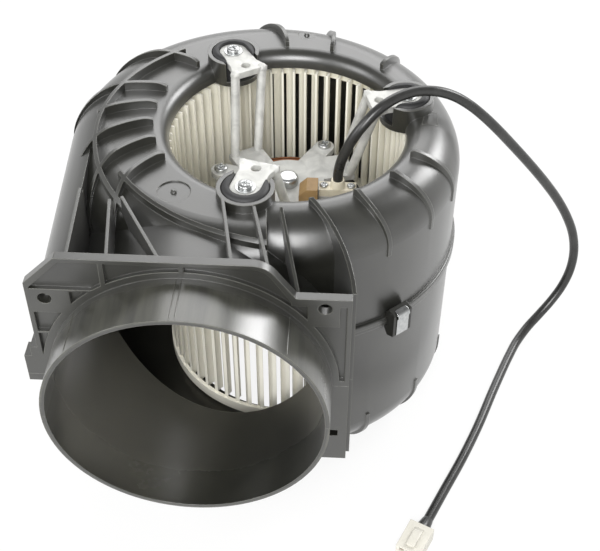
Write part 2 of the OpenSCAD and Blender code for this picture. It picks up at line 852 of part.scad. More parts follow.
module motor_shaft() {
    washer_low = lower_bearing_top + washer_gap + thrust_t;
    washer_high = upper_bearing_z - washer_gap - thrust_t;
    placed() color(steel) difference() {
        union() {
            translate([0, 0, shaft_bottom]) cylinder(r = shaft_r, h = shaft_top - shaft_bottom);
            translate([0, 0, washer_low]) cylinder(r = shoulder_r, h = washer_high - washer_low);
        }
        translate([0, 0, bush_bottom - clip_t]) tube(shaft_r + 1, shaft_r - groove_d, clip_t);
    }
}

module thrust_washers() {
    levels = [lower_bearing_top + washer_gap, upper_bearing_z - washer_gap - thrust_t];
    placed() color("#d8cfae") for (z = levels) translate([0, 0, z]) tube(thrust_r, shaft_r, thrust_t);
}

// Plan of one forward-curved blade
module blade_plan() {
    intersection() {
        translate([fan_in + 2, blade_curve_r]) difference() {
            circle(blade_curve_r + blade_t / 2);
            circle(blade_curve_r - blade_t / 2);
        }
        difference() {
            circle(fan_r - ring_t / 2);
            circle(fan_in);
        }
        translate([fan_in - 2, -blade_t]) square([blade_depth + 4, blade_curve_r * 0.9]);
    }
}

module fan_wheel() {
    placed() color(cream) {
        for (i = [0:blade_count - 1]) rotate(i * 360 / blade_count)
            translate([0, 0, blade_inset - fan_bottom])
                linear_extrude(fan_top + fan_bottom - 2 * blade_inset) blade_plan();
        for (z = [-fan_bottom, fan_top - ring_h]) translate([0, 0, z]) tube(fan_r, fan_r - ring_t, ring_h);
        rotate_extrude() polygon([
            [bush_r, bell_floor], [bell_r - 4, bell_floor], [bell_r, fan_mid + bell_t],
            [fan_r - ring_t, fan_mid + bell_t], [fan_r - ring_t, fan_mid], [bell_r + bell_t, fan_mid],
            [bell_r - 4 + bell_t, bell_floor - bell_t], [hub_r, bell_floor - bell_t],
            [hub_r, bush_bottom], [bush_r, bush_bottom]
        ]);
    }
}

module hub_bush() {
    placed() color("#c2a35a") translate([0, 0, bush_bottom]) tube(bush_r, shaft_r, bush_top - bush_bottom);
}

module shaft_clip() {
    placed() color(steel) translate([0, 0, bush_bottom - clip_t]) difference() {
        tube(clip_r, shaft_r - groove_d, clip_t);
        translate([0, -shaft_r / 2, -1]) cube([clip_r + 1, shaft_r, clip_t + 2]);
    }
}

module cable_clamp() {
    placed() color("#d9d2bd") translate([clamp_x, clamp_y, hub_plate_top]) difference() {
        union() {
            translate([-clamp_size[0] / 2, -clamp_size[1] / 2, 0]) cube(clamp_size);
            translate([0, 0, clamp_size[2] - eps])
                cylinder(r1 = cable_r + 1.6, r2 = cable_r + 0.8, h = relief_h + eps);
        }
        for (s = [-1, 1]) translate([s * clamp_screw_x, 0, -1])
            cylinder(d = clamp_screw_d + 2 * fit_gap, h = clamp_size[2] + 2);
    }
}

module clamp_screws() {
    placed() color(steel) for (s = [-1, 1])
        translate([clamp_x + s * clamp_screw_x, clamp_y, hub_plate_top + clamp_size[2]])
            pan_screw(clamp_screw_d, clamp_size[2] + plate_t, clamp_screw_d, clamp_screw_d * 0.6);
}

// Point on a smooth curve through the route, at a part t of the way from point i to the next
function route_point(i, t) =
    let (n = len(cable_route),
         a = cable_route[max(i - 1, 0)], b = cable_route[i],
         c = cable_route[min(i + 1, n - 1)], d = cable_route[min(i + 2, n - 1)])
    0.5 * (2 * b + (c - a) * t + (2 * a - 5 * b + 4 * c - d) * t ^ 2 + (3 * b - a - 3 * c + d) * t ^ 3);

function unit(v) = v / norm(v);

module motor_cable() {
    n = len(cable_route);
    path = concat([for (i = [0:n - 2], t = [0, 0.5]) route_point(i, t)], [cable_route[n - 1]]);
    last = len(path) - 1;
    points = [for (i = [0:last])
        let (along = unit(path[min(i + 1, last)] - path[max(i - 1, 0)]),
             flat = i == 0 ? [0, 0, 1] : along,
             side = unit(cross(flat, [0.7, -0.7, 0])),
             up = cross(side, flat))
        for (k = [0:cable_sides - 1])
            let (a = 360 * k / cable_sides) path[i] + cable_r * (cos(a) * side + sin(a) * up)];
    walls = [for (i = [0:last - 1], k = [0:cable_sides - 1])
        let (p = i * cable_sides, j = (k + 1) % cable_sides)
        [p + k, p + j, p + cable_sides + j, p + cable_sides + k]];
    ends = [[for (k = [cable_sides - 1:-1:0]) k],
            [for (k = [0:cable_sides - 1]) last * cable_sides + k]];
    placed() color("#1d1e20") polyhedron(points, concat(walls, ends));
}

// Puts a piece on the cable's far end, with X along the cable and z = 0 on the floor
module at_plug() {
    end = cable_route[len(cable_route) - 1];
    placed() translate([end[0], end[1], floor_z]) rotate(plug_turn) children();
}

module cable_plug() {
    color("#f2f0ea") at_plug() difference() {
        translate([0, -plug_size[1] / 2, 0]) cube(plug_size);
        for (y = contact_rows, z = contact_levels)
            translate([plug_size[0] - contact_depth, y - contact_pitch * 0.35, z - contact_pitch * 0.35])
                cube([contact_depth + 1, contact_pitch * 0.7, contact_pitch * 0.7]);
    }
}

module plug_contacts() {
    color("#c9b26a") at_plug() for (y = contact_rows, z = contact_levels)
        translate([plug_size[0] - contact_depth, y - contact_w / 2, z - contact_w / 2])
            cube([contact_depth - 1, contact_w, contact_w]);
}

upper_housing();
lower_housing();
housing_clips();
rubber_mount_left();
rubber_mount_front();
rubber_mount_right();
mount_screws();
mount_washers();
motor_bracket();
bearing_cap();
upper_bearing();
lower_bearing();
stator_core();
upper_coil_former();
lower_coil_former();
upper_winding();
lower_winding();
lower_end_shield();
motor_bolts();
motor_nuts();
terminal_block();
rotor_core();
rotor_cage();
motor_shaft();
thrust_washers();
fan_wheel();
hub_bush();
shaft_clip();
cable_clamp();
clamp_screws();
motor_cable();
cable_plug();
plug_contacts();
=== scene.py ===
"""Looks of a double-inlet hood fan with its motor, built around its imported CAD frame."""

import json
import math

import bmesh
import bpy
import numpy as np
from mathutils import Matrix, Vector


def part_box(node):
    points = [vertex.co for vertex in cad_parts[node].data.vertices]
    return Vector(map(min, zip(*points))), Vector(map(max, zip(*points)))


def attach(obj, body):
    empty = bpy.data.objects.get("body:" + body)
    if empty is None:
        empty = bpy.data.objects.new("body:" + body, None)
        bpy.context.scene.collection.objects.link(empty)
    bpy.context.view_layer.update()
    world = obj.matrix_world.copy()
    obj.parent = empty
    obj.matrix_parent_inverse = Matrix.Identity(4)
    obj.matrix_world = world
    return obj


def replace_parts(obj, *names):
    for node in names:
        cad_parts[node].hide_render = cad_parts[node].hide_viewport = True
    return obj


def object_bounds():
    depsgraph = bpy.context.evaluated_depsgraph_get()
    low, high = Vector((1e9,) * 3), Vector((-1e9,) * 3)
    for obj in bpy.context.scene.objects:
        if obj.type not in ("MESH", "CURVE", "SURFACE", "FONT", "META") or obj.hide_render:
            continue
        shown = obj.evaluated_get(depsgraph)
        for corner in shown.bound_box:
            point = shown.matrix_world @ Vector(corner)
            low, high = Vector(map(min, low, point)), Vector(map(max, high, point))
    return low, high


bl_info = {
    "name": "Hood fan looks",
    "version": (1, 0, 0),
    "blender": (4, 5, 0),
    "location": "View3D > Sidebar > Hood fan",
    "description": "Dresses a double-inlet hood fan: finishes, cable, screws, mould marks and the studio around it",
    "category": "Object",
}

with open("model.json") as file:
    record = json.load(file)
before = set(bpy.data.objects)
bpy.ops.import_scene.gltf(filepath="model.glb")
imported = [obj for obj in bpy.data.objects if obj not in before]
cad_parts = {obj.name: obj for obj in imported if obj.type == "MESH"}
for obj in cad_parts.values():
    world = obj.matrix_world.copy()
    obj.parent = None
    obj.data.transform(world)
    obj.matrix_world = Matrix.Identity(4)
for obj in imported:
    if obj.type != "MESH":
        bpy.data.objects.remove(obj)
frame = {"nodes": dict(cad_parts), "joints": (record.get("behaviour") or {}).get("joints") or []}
CAD_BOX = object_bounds()
FLOOR_Z = CAD_BOX[0].z
FAN_AXIS = Vector(frame["joints"][0]["pos_m"])
MM = 0.001
UP = np.array([0.0, 0.0, 1.0])

# Camera, solved on the photograph
IMAGE_WIDTH_PX = 600
FOCAL_PX = 1129.9
SENSOR_MM = 36.0
CAMERA_PLACE = Vector((0.0782, -0.3663, 0.4565))
CAMERA_AZIMUTH = math.radians(2.95)
CAMERA_ELEVATION = math.radians(43.556)
CAMERA_ROLL = math.radians(0.195)
CAMERA_NEAR, CAMERA_FAR = 0.01, 50.0

# Soft lamps: place and size in metres, and power in watts
LAMPS = {
    "back_lamp": ((0.05, 1.5, 1.1), 1.2, 12.5),
    "right_lamp": ((0.98, 0.85, 0.78), 0.6, 12.0),
    "left_lamp": ((-1.1, -0.35, 0.85), 0.7, 8.0),
    "front_lamp": ((-0.05, -1.1, 1.0), 0.8, 24.0),
}
# Share of the floor that is shown as plain white, while the rest of it takes the light and the shadow
FLOOR_SHOWN = 0.88
# Surroundings in mirror images: level up to the first height of the direction, and from the second height on
MIRROR_HEIGHTS = (0.2, 0.8)
MIRROR_LEVELS = (1.0, 0.25)

# Finishes: rays for each rounded edge, and the distance between waves of Blender's wave texture at a scale of 1
EDGE_SAMPLES = 6
WAVE_STEP = 2 * math.pi / 20

# Sizes from here on are in millimetres, and angles of places round an axis are in degrees
# Cable route from the fan axis, with its height above the parting plane
CABLE_LIE_Z = -109.5
CABLE_ROUTE = [
    (30, -8, 41), (30.1, -8.2, 46.5), (31.6, -9.1, 55.4), (34.9, -9.4, 65.2), (39.3, -8.1, 73.7), (44.2, -5.8, 80),
    (49.6, -2.3, 85.1), (56.1, 2.2, 88.6), (63.8, 7.9, 90), (73.5, 13.2, 90), (84.7, 15.7, 88.6), (95, 17.8, 84.3),
    (105, 19.5, 77.1), (114.3, 21.5, 68), (123.6, 23.9, 57.4), (132.9, 27, 45.6), (142.4, 30.7, 33),
    (152.2, 34.9, 19.4), (162, 39.3, 5), (171.6, 43.4, -10.2), (180.3, 46.5, -26.2), (187, 47.8, -41.9),
    (190.4, 46.9, -57.3), (190, 44.2, -71.3), (186.2, 40.4, -83.4), (179.8, 35.4, -93.3), (172, 29.1, -100.8),
    (163.4, 20.6, -106.1), (155.4, 9, -109.1), (149.8, -2.9, CABLE_LIE_Z), (145.2, -13.7, CABLE_LIE_Z),
    (136.1, -36.4, CABLE_LIE_Z), (125, -65.4, CABLE_LIE_Z), (113.4, -92.1, CABLE_LIE_Z), (101.3, -117, CABLE_LIE_Z),
    (92.7, -134.8, CABLE_LIE_Z), (87.1, -146.3, CABLE_LIE_Z),
]
# Points between two knots of the route, sides of the cable, and a level direction that it never takes
CABLE_STEPS = 8
CABLE_SIDES = 20
CABLE_ACROSS = np.array([0.7, -0.7, 0.0])
# Boot behind the connector: places of its rings back from the connector, and their radii as shares of the cable's
BOOT_BACK = np.array([9.0, 8.0, 5.0, 2.5, 0.0])
BOOT_WIDE = np.array([1.02, 1.12, 1.25, 1.4, 1.45])
BOOT_SIDES = 24
# Connector: height of its body over the floor
PLUG_TOP = 10.0
# Latch on the connector: its line forwards and over the body, its width and half its thickness
LATCH_RUN = np.array([3.0, 4.5, 6.0, 8.0, 11.0, 14.0, 16.0, 17.2, 17.8])
LATCH_LIFT = np.array([-0.4, 0.3, 1.1, 1.5, 1.6, 1.6, 1.4, 0.9, 0.2])
LATCH_WIDTH = 5.5
LATCH_HALF = 0.7

# Upper shell from the fan axis: height, edge rounding, and the round walls on its two sides
SHELL_TOP = 77.0
SHELL_EDGE = 23.0
SCROLL_X, SCROLL_R = -13.0, 113.0
TONGUE_R = 100.0
# Gate marks of the moulding, with the depth of their dish
GATES = [(-56.0, -68.0), (6.7, 91.0)]
GATE_DEPTH = 0.7
# Broken sprue in a gate mark: radii of its rings, their heights over the dish, and the slope's part in each height
STUB_RADII = np.array([2.0, 1.7, 1.5, 1.35, 0.8, 0.15])
STUB_HEIGHTS = np.array([-0.3, 0.3, 0.8, 1.2, 1.3, 1.1])
STUB_SLOPES = np.array([0.0, 0.0, 0.1, 0.3, 0.25, 0.1])
STUB_SIDES = 20
# Outlet spigot: radius and length, and the directions of the mould's seams on it
SPIGOT_R = 75.0
SPIGOT_LENGTH = 29.0
SPIGOT_SEAMS = [45.0, 90.0, 92.0, 139.0]
# Polished outside of the spigot: depths below its radius and places on its axis where the polish begins and is full
POLISH_DEPTH = (1.5, 0.8)
POLISH_BACK = (30.0, 22.0)
# Corners of the exchangeable mould insert on the shell's shoulder, and the width and height of its edge
INSERT_CORNERS = [(76.5, -1.0), (85.5, 0.5), (86.0, 14.0), (78.5, 11.0)]
INSERT_WIDTH = 0.5
INSERT_RISE = 0.2
# Mould marks: points along each, how far they sink into the plastic, and the gap from a seam's end to the spigot's
MARK_POINTS = 12
MARK_SINK = 0.3
SEAM_GAP = 0.6
# Screws: directions and radius of the mounts and of the motor bolts, and the two places of the clamp's screws
MOUNT_TURNS, MOUNT_R = [121.0, 255.5, 16.0], 71.0
BOLT_TURNS, BOLT_R = [61.0, 166.0, 300.0], 42.4
CLAMP_SCREWS = [(22.0, -8.0), (38.0, -8.0)]
# Radius and height of the head and radius of the shank, by the CAD node that the screws replace
SCREW_SIZES = {"mount_screws": (4.0, 2.6, 2.0), "motor_bolts": (4.0, 2.8, 2.0), "clamp_screws": (2.5, 1.5, 1.25)}
# Turn of the first recess of a group, and from each to the next, in radians
SCREW_TURN, SCREW_STEP = 0.4, 1.1
# Pan head: rings over its top, shares of its radius at the inmost ring and the underside, and shares of its height at
# the crown's edge and the rim
HEAD_RINGS = 18
HEAD_INMOST, HEAD_UNDER = 0.03, 0.97
HEAD_CROWN, HEAD_RIM = 0.55, 0.12
# Tip of the shank: share of the length at which it begins, and share of the radius at its end
TIP_START, TIP_END = 0.95, 0.6
# Cross recess: half length, half width and soft edge as shares of the head's radius, depth as a share of its height
RECESS_LONG, RECESS_WIDE, RECESS_SOFT, RECESS_DEEP = 0.62, 0.2, 0.09, 0.6
# Clips over the parting seam: centre across, radius of the wall and direction
CLIP_PLACES = [(0.0, TONGUE_R, 310.0), (SCROLL_X, SCROLL_R, 62.0), (SCROLL_X, SCROLL_R, 140.0)]
# Steel spring over a clip: its line outwards from the wall and up, with a rolled bead at its top, and its width
SPRING_LINE = np.array([
    (5.0, 9.4), (6.4, 8.9), (7.6, 8.4), (8.6, 7.6), (9.1, 6.6), (9.0, 5.6), (8.55, 4.9), (8.35, 4.2), (8.3, 2.5),
    (8.3, 0.0), (8.3, -3.0), (8.3, -6.0), (8.25, -7.4), (7.7, -8.3), (6.9, -8.7),
])
SPRING_WIDTH = 8.5
# Half the spring's thickness, and points between two knots of its line
SPRING_HALF = 0.25
SPRING_STEPS = 5
# Low bars: power of the taper at their ends, and the share of the section that is left there
TAPER_POWER = 24
TAPER_END = 0.1
# Two faces of a made piece that meet at more than this angle meet in a sharp edge
SHARP_ANGLE = math.radians(35)


def linear(code):
    """A colour given as an sRGB hex value, in linear light with an alpha of 1."""
    srgb = np.array([int(code[i:i + 2], 16) for i in (1, 3, 5)]) / 255
    light = np.where(srgb <= 0.04045, srgb / 12.92, ((srgb + 0.055) / 1.055) ** 2.4)
    return (*(float(x) for x in light), 1.0)


def shade(colour, factor):
    """The same colour in linear light, lighter or darker by a factor."""
    return (*(min(1.0, channel * factor) for channel in colour[:3]), 1.0)


def put(tree, kind, inputs=None, stops=(), **settings):
    """Adds one shader node with its settings. A socket among the inputs is linked, any other value is set.

    The stops are the places and colours of a node that has a colour ramp.
    """
    node = tree.nodes.new("ShaderNode" + kind)
    for name, value in settings.items():
        setattr(node, name, value)
    for name, value in (inputs or {}).items():
        if isinstance(value, bpy.types.NodeSocket):
            tree.links.new(value, node.inputs[name])
        else:
            node.inputs[name].default_value = value
    for i, (place, colour) in enumerate(stops):
        node.color_ramp.elements[i].position = place
        node.color_ramp.elements[i].color = colour
    return node


def start_material(name):
    """A new material with an empty node tree."""
    material = bpy.data.materials.new(name)
    material.use_nodes = True
    material.node_tree.nodes.clear()
    return material, material.node_tree


def per_metre(size_mm):
    """Texture scale at which one cell of a pattern has that size."""
    return 1 / (size_mm * MM)


def black_acetal(colour):
    """Black acetal of the clips, moulded in a polished tool: deep black with a soft shine and a few dull patches."""
    material, tree = start_material("black_acetal")
    place = put(tree, "TexCoord").outputs["Object"]
    patch = put(tree, "TexNoise", {"Vector": place, "Scale": per_metre(5), "Detail": 4.0})
    tint = put(tree, "ValToRGB", {"Fac": patch.outputs["Fac"]},
               stops=[(0.0, shade(colour, 0.5)), (1.0, shade(colour, 0.9))])
    rounded = put(tree, "Bevel", {"Radius": 0.6 * MM}, samples=EDGE_SAMPLES)
    rough = put(tree, "MapRange", {"Value": patch.outputs["Fac"], "To Min": 0.25, "To Max": 0.4})
    shader = put(tree, "BsdfPrincipled", {"Base Color": tint.outputs["Color"], "Roughness": rough.outputs["Result"],
                                          "IOR": 1.48, "Normal": rounded.outputs["Normal"]})
    put(tree, "OutputMaterial", {"Surface": shader.outputs["BSDF"]})
    return material


def moulded_polypropylene(colour):
    """Black polypropylene, injection moulded in a satin tool: cloudy sheen, outer edges painted paler as highlight
    and wear, and a glossier spigot with pale streaks of painted reflection and rubbing.
    """
    material, tree = start_material("moulded_polypropylene")
    place = put(tree, "TexCoord").outputs["Object"]
    cloud = put(tree, "TexNoise", {"Vector": place, "Scale": per_metre(38), "Detail": 5.0, "Roughness": 0.62})
    grain = put(tree, "TexNoise", {"Vector": place, "Scale": per_metre(0.9), "Detail": 2.0})
    tint = put(tree, "ValToRGB", {"Fac": cloud.outputs["Fac"]},
               stops=[(0.3, shade(colour, 0.6)), (0.75, shade(colour, 1.3))])
    rounded = put(tree, "Bevel", {"Radius": 0.7 * MM}, samples=EDGE_SAMPLES)
    flat = put(tree, "NewGeometry").outputs["True Normal"]
    likeness = put(tree, "VectorMath", {0: rounded.outputs["Normal"], 1: flat}, operation="DOT_PRODUCT")
    edge = put(tree, "MapRange", {"Value": likeness.outputs["Value"], "From Min": 0.97, "From Max": 0.72,
                                  "To Min": 0.0, "To Max": 0.6})
    # Pale outer edges are partly painted highlight and partly wear; an inner corner is shaded by its own walls, so
    # that it is left without either
    free = put(tree, "AmbientOcclusion", {"Distance": 3 * MM}, samples=EDGE_SAMPLES, only_local=True)
    standing = put(tree, "MapRange", {"Value": free.outputs["AO"], "From Min": 0.65, "From Max": 0.85})
    wear_and_highlight = put(tree, "Math", {0: edge.outputs["Result"], 1: standing.outputs["Result"]}, operation="MULTIPLY")
    # The spigot's outside is polished, with pale streaks along its axis that are partly rubbing by the duct and
    # partly a painted reflection
    ways = put(tree, "SeparateXYZ", {"Vector": place})
    across = put(tree, "VectorMath", {0: place, 1: (1.0, 0.0, 1.0)}, operation="MULTIPLY")
    reach = put(tree, "VectorMath", {0: across.outputs["Vector"]}, operation="LENGTH")
    outside = put(tree, "MapRange", {"Value": reach.outputs["Value"], "From Min": (SPIGOT_R - POLISH_DEPTH[0]) * MM,
                                     "From Max": (SPIGOT_R - POLISH_DEPTH[1]) * MM})
    mouth = put(tree, "MapRange", {"Value": ways.outputs["Y"], "From Min": POLISH_BACK[0] * MM,
                                   "From Max": POLISH_BACK[1] * MM})
    along = put(tree, "Mapping", {"Vector": place, "Scale": (1.0, 0.1, 1.0)})
    streak = put(tree, "TexNoise", {"Vector": along.outputs["Vector"], "Scale": per_metre(14), "Detail": 5.0,
                                    "Roughness": 0.65})
    rubbed = put(tree, "MapRange", {"Value": streak.outputs["Fac"], "From Min": 0.36, "From Max": 0.66,
                                    "To Min": 0.05, "To Max": 0.45})
    collar = put(tree, "Math", {0: outside.outputs["Result"], 1: mouth.outputs["Result"]}, operation="MULTIPLY")
    scuff_and_painted_reflection = put(tree, "Math", {0: collar.outputs["Value"], 1: rubbed.outputs["Result"]}, operation="MULTIPLY")
    # Painted reflection and rubbing: the streaks lighten the spigot's outside towards a pale grey
    streaked_and_reflected = put(tree, "Mix", {0: scuff_and_painted_reflection.outputs["Value"], "A": tint.outputs["Color"], "B": shade(colour, 7.0)},
                   data_type="RGBA")
    # Painted highlight and wear: open outer edges are lightened, standing for the shine of their rounding and for
    # rubbing
    worn_and_highlit = put(tree, "Mix", {0: wear_and_highlight.outputs["Value"], "A": streaked_and_reflected.outputs["Result"], "B": shade(colour, 11.0)},
               data_type="RGBA")
    gloss = put(tree, "MapRange", {"Value": mouth.outputs["Result"], "To Min": 0.27, "To Max": 0.18})
    rough = put(tree, "Math", {0: cloud.outputs["Fac"], 1: 0.14, 2: gloss.outputs["Result"]},
                operation="MULTIPLY_ADD")
    bump = put(tree, "Bump", {"Height": grain.outputs["Fac"], "Strength": 0.06, "Distance": 0.2 * MM,
                              "Normal": rounded.outputs["Normal"]})
    shader = put(tree, "BsdfPrincipled", {"Base Color": worn_and_highlit.outputs["Result"], "Roughness": rough.outputs["Value"],
                                          "IOR": 1.75, "Sheen Weight": 0.06, "Coat Weight": 0.5,
                                          "Coat Roughness": 0.3, "Coat IOR": 1.5,
                                          "Normal": bump.outputs["Normal"]})
    put(tree, "OutputMaterial", {"Surface": shader.outputs["BSDF"]})
    return material


def soft_rubber():
    """Dark grey vulcanised rubber: dull, with a slight bloom."""
    material, tree = start_material("soft_rubber")
    place = put(tree, "TexCoord").outputs["Object"]
    bloom = put(tree, "TexNoise", {"Vector": place, "Scale": per_metre(6), "Detail": 5.0})
    tint = put(tree, "ValToRGB", {"Fac": bloom.outputs["Fac"]},
               stops=[(0.0, linear("#19191a")), (1.0, linear("#303031"))])
    grain = put(tree, "TexNoise", {"Vector": place, "Scale": per_metre(0.8), "Detail": 2.0})
    rounded = put(tree, "Bevel", {"Radius": 0.8 * MM}, samples=EDGE_SAMPLES)
    bump = put(tree, "Bump", {"Height": grain.outputs["Fac"], "Strength": 0.12, "Distance": 0.2 * MM,
                              "Normal": rounded.outputs["Normal"]})
    shader = put(tree, "BsdfPrincipled", {"Base Color": tint.outputs["Color"], "Roughness": 0.55, "IOR": 1.52,
                                          "Normal": bump.outputs["Normal"]})
    put(tree, "OutputMaterial", {"Surface": shader.outputs["BSDF"]})
    return material


def die_cast_metal(colour):
    """Die-cast aluminium alloy, blasted: pale and satin, with cloudy flow marks and softly rounded edges."""
    material, tree = start_material("die_cast_metal")
    place = put(tree, "TexCoord").outputs["Object"]
    flow = put(tree, "TexNoise", {"Vector": place, "Scale": per_metre(9), "Detail": 6.0, "Distortion": 0.8})
    tint = put(tree, "ValToRGB", {"Fac": flow.outputs["Fac"]},
               stops=[(0.3, shade(colour, 0.72)), (0.7, shade(colour, 1.05))])
    grit = put(tree, "TexNoise", {"Vector": place, "Scale": per_metre(0.7), "Detail": 3.0})
    rounded = put(tree, "Bevel", {"Radius": 0.9 * MM}, samples=EDGE_SAMPLES)
    bump = put(tree, "Bump", {"Height": grit.outputs["Fac"], "Strength": 0.15, "Distance": 0.2 * MM,
                              "Normal": rounded.outputs["Normal"]})
    rough = put(tree, "MapRange", {"Value": flow.outputs["Fac"], "To Min": 0.55, "To Max": 0.72})
    shader = put(tree, "BsdfPrincipled", {"Base Color": tint.outputs["Color"], "Metallic": 0.4,
                                          "Roughness": rough.outputs["Result"], "Normal": bump.outputs["Normal"]})
    put(tree, "OutputMaterial", {"Surface": shader.outputs["BSDF"]})
    return material


def plated_steel(name, smooth, dull):
    """Zinc-plated steel, rolled, drawn or turned: bright grey with small cloudy spots, some smooth and some dull."""
    material, tree = start_material(name)
    place = put(tree, "TexCoord").outputs["Object"]
    spots = put(tree, "TexNoise", {"Vector": place, "Scale": per_metre(2), "Detail": 4.0})
    tint = put(tree, "ValToRGB", {"Fac": spots.outputs["Fac"]},
               stops=[(0.0, linear("#a3a5a6")), (1.0, linear("#d3d4d3"))])
    rounded = put(tree, "Bevel", {"Radius": 0.3 * MM}, samples=EDGE_SAMPLES)
    rough = put(tree, "MapRange", {"Value": spots.outputs["Fac"], "To Min": smooth, "To Max": dull})
    shader = put(tree, "BsdfPrincipled", {"Base Color": tint.outputs["Color"], "Metallic": 1.0,
                                          "Roughness": rough.outputs["Result"], "Normal": rounded.outputs["Normal"]})
    put(tree, "OutputMaterial", {"Surface": shader.outputs["BSDF"]})
    return material


def cream_polypropylene(colour):
    """Cream polypropylene of the fan, moulded: waxy and even, with a soft shine."""
    material, tree = start_material("cream_polypropylene")
    place = put(tree, "TexCoord").outputs["Object"]
    cloud = put(tree, "TexNoise", {"Vector": place, "Scale": per_metre(30), "Detail": 3.0})
    tint = put(tree, "ValToRGB", {"Fac": cloud.outputs["Fac"]},
               stops=[(0.0, shade(colour, 0.94)), (1.0, shade(colour, 1.04))])
    rounded = put(tree, "Bevel", {"Radius": 0.2 * MM}, samples=EDGE_SAMPLES)
    shader = put(tree, "BsdfPrincipled", {"Base Color": tint.outputs["Color"], "Roughness": 0.42, "IOR": 1.49,
                                          "Normal": rounded.outputs["Normal"]})
    put(tree, "OutputMaterial", {"Surface": shader.outputs["BSDF"]})
    return material


def stacked_lamination():
    """Stack of thin dark-blued steel sheets: fine level lines, dull shine."""
    material, tree = start_material("stacked_lamination")
    place = put(tree, "TexCoord").outputs["Object"]
    # The sheets are half a millimetre thick, and are drawn at about two millimetres so that they show
    lines = put(tree, "TexWave", {"Vector": place, "Scale": per_metre(1.974) * WAVE_STEP, "Distortion": 0.2},
                bands_direction="Z")
    tint = put(tree, "ValToRGB", {"Fac": lines.outputs["Fac"]},
               stops=[(0.0, linear("#1b1b1d")), (1.0, linear("#39383a"))])
    bump = put(tree, "Bump", {"Height": lines.outputs["Fac"], "Strength": 0.4, "Distance": 0.3 * MM})
    shader = put(tree, "BsdfPrincipled", {"Base Color": tint.outputs["Color"], "Metallic": 0.6, "Roughness": 0.45,
                                          "Normal": bump.outputs["Normal"]})
    put(tree, "OutputMaterial", {"Surface": shader.outputs["BSDF"]})
    return material


def enamelled_copper():
    """Copper wire under clear enamel, wound in rings: warm brown lines with a wet shine."""
    material, tree = start_material("enamelled_copper")
    place = put(tree, "TexCoord").outputs["Object"]
    centred = put(tree, "Mapping", {"Vector": place, "Location": -FAN_AXIS})
    # The wire is half a millimetre thick, and is drawn at over two millimetres so that it shows
    wires = put(tree, "TexWave", {"Vector": centred.outputs["Vector"], "Scale": per_metre(2.369) * WAVE_STEP,
                                  "Distortion": 1.5, "Detail": 2.0}, wave_type="RINGS", rings_direction="Z")
    tint = put(tree, "ValToRGB", {"Fac": wires.outputs["Fac"]},
               stops=[(0.0, linear("#4a2412")), (1.0, linear("#b06a3c"))])
    bump = put(tree, "Bump", {"Height": wires.outputs["Fac"], "Strength": 0.7, "Distance": 0.4 * MM})
    shader = put(tree, "BsdfPrincipled", {"Base Color": tint.outputs["Color"], "Metallic": 0.7, "Roughness": 0.35,
                                          "Normal": bump.outputs["Normal"]})
    put(tree, "OutputMaterial", {"Surface": shader.outputs["BSDF"]})
    return material


def filled_resin(name, dark, light):
    """Filled resin, moulded: warm, dull, a little mottled."""
    material, tree = start_material(name)
    place = put(tree, "TexCoord").outputs["Object"]
    mottle = put(tree, "TexNoise", {"Vector": place, "Scale": per_metre(4), "Detail": 5.0})
    tint = put(tree, "ValToRGB", {"Fac": mottle.outputs["Fac"]},
               stops=[(0.0, linear(dark)), (1.0, linear(light))])
    rounded = put(tree, "Bevel", {"Radius": 0.4 * MM}, samples=EDGE_SAMPLES)
    shader = put(tree, "BsdfPrincipled", {"Base Color": tint.outputs["Color"], "Roughness": 0.5, "IOR": 1.55,
                                          "Normal": rounded.outputs["Normal"]})
    put(tree, "OutputMaterial", {"Surface": shader.outputs["BSDF"]})
    return material


def pale_nylon(name, dark, light):
    """Unfilled nylon, moulded: pale and waxy, with a faint mottle."""
    material, tree = start_material(name)
    place = put(tree, "TexCoord").outputs["Object"]
    mottle = put(tree, "TexNoise", {"Vector": place, "Scale": per_metre(5), "Detail": 3.0})
    tint = put(tree, "ValToRGB", {"Fac": mottle.outputs["Fac"]},
               stops=[(0.0, linear(dark)), (1.0, linear(light))])
    rounded = put(tree, "Bevel", {"Radius": 0.4 * MM}, samples=EDGE_SAMPLES)
    shader = put(tree, "BsdfPrincipled", {"Base Color": tint.outputs["Color"], "Roughness": 0.4, "IOR": 1.53,
                                          "Normal": rounded.outputs["Normal"]})
    put(tree, "OutputMaterial", {"Surface": shader.outputs["BSDF"]})
    return material


def sintered_bronze():
    """Oil-soaked sintered bronze: brown-gold, with fine pores."""
    material, tree = start_material("sintered_bronze")
    place = put(tree, "TexCoord").outputs["Object"]
    pores = put(tree, "TexNoise", {"Vector": place, "Scale": per_metre(0.6), "Detail": 3.0})
    tint = put(tree, "ValToRGB", {"Fac": pores.outputs["Fac"]},
               stops=[(0.0, linear("#6d5230")), (1.0, linear("#b08d57"))])
    bump = put(tree, "Bump", {"Height": pores.outputs["Fac"], "Strength": 0.2, "Distance": 0.2 * MM})
    shader = put(tree, "BsdfPrincipled", {"Base Color": tint.outputs["Color"], "Metallic": 1.0, "Roughness": 0.4,
                                          "Normal": bump.outputs["Normal"]})
    put(tree, "OutputMaterial", {"Surface": shader.outputs["BSDF"]})
    return material


def black_vinyl(colour):
    """Black PVC cable sheath, extruded: smooth, with a soft shine and faint dust."""
    material, tree = start_material("black_vinyl")
    place = put(tree, "TexCoord").outputs["Object"]
    dust = put(tree, "TexNoise", {"Vector": place, "Scale": per_metre(12), "Detail": 6.0, "Roughness": 0.7})
    tint = put(tree, "ValToRGB", {"Fac": dust.outputs["Fac"]},
               stops=[(0.4, shade(colour, 0.8)), (0.8, shade(colour, 1.7))])
    rough = put(tree, "MapRange", {"Value": dust.outputs["Fac"], "To Min": 0.2, "To Max": 0.38})
    shader = put(tree, "BsdfPrincipled", {"Base Color": tint.outputs["Color"], "Roughness": rough.outputs["Result"],
                                          "IOR": 1.53})
    put(tree, "OutputMaterial", {"Surface": shader.outputs["BSDF"]})
    return material


